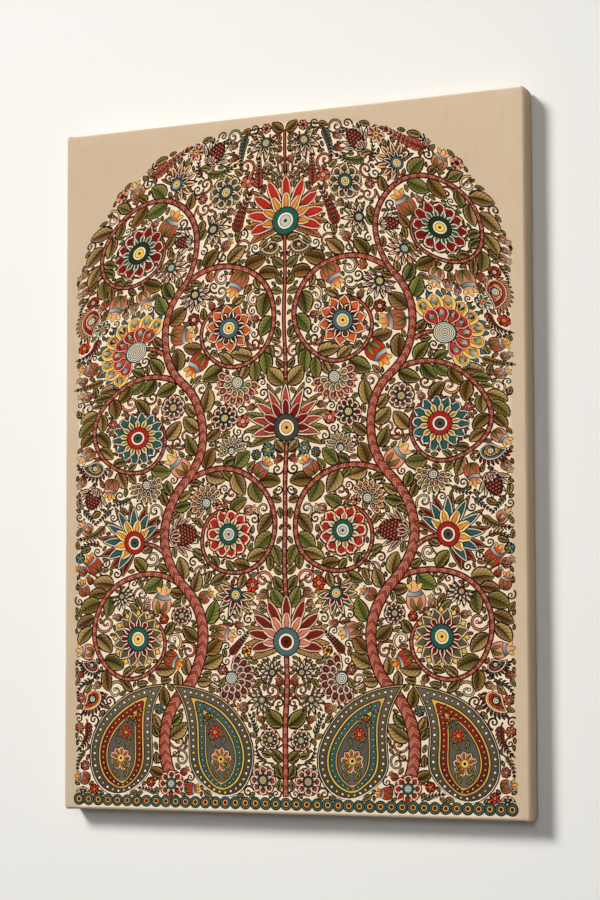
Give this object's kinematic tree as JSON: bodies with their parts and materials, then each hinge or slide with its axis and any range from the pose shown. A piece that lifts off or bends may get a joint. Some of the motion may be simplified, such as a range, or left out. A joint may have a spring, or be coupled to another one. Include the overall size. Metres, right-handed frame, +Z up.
{
  "type": "kalamkari cloth panel on stretcher frame",
  "caption": "Upright rectangle of printed cotton canvas stretched over a mitred wooden frame and turned over its sides, hung flush on a wall.",
  "frame": {"origin": "back of the cloth at the middle of its top hem, in the plane of the wall", "axes": "+Z up, +Y into the wall, so the printed front looks along -Y, and +X to the right as seen from the front"},
  "size_m": [0.5, 0.025, 0.7016],
  "materials": {
    "printed_canvas": "matte cotton canvas, vegetable-dye colours on a cream ground with bare beige margins and sides",
    "frame_wood": "planed pine, unfinished",
    "staple_steel": "zinc-plated wire"
  },
  "bodies": {
    "root": {"cloth": "printed_canvas", "bar_top": "frame_wood", "bar_left": "frame_wood", "bar_bottom": "frame_wood", "bar_right": "frame_wood"}
  },
  "joints": []
}
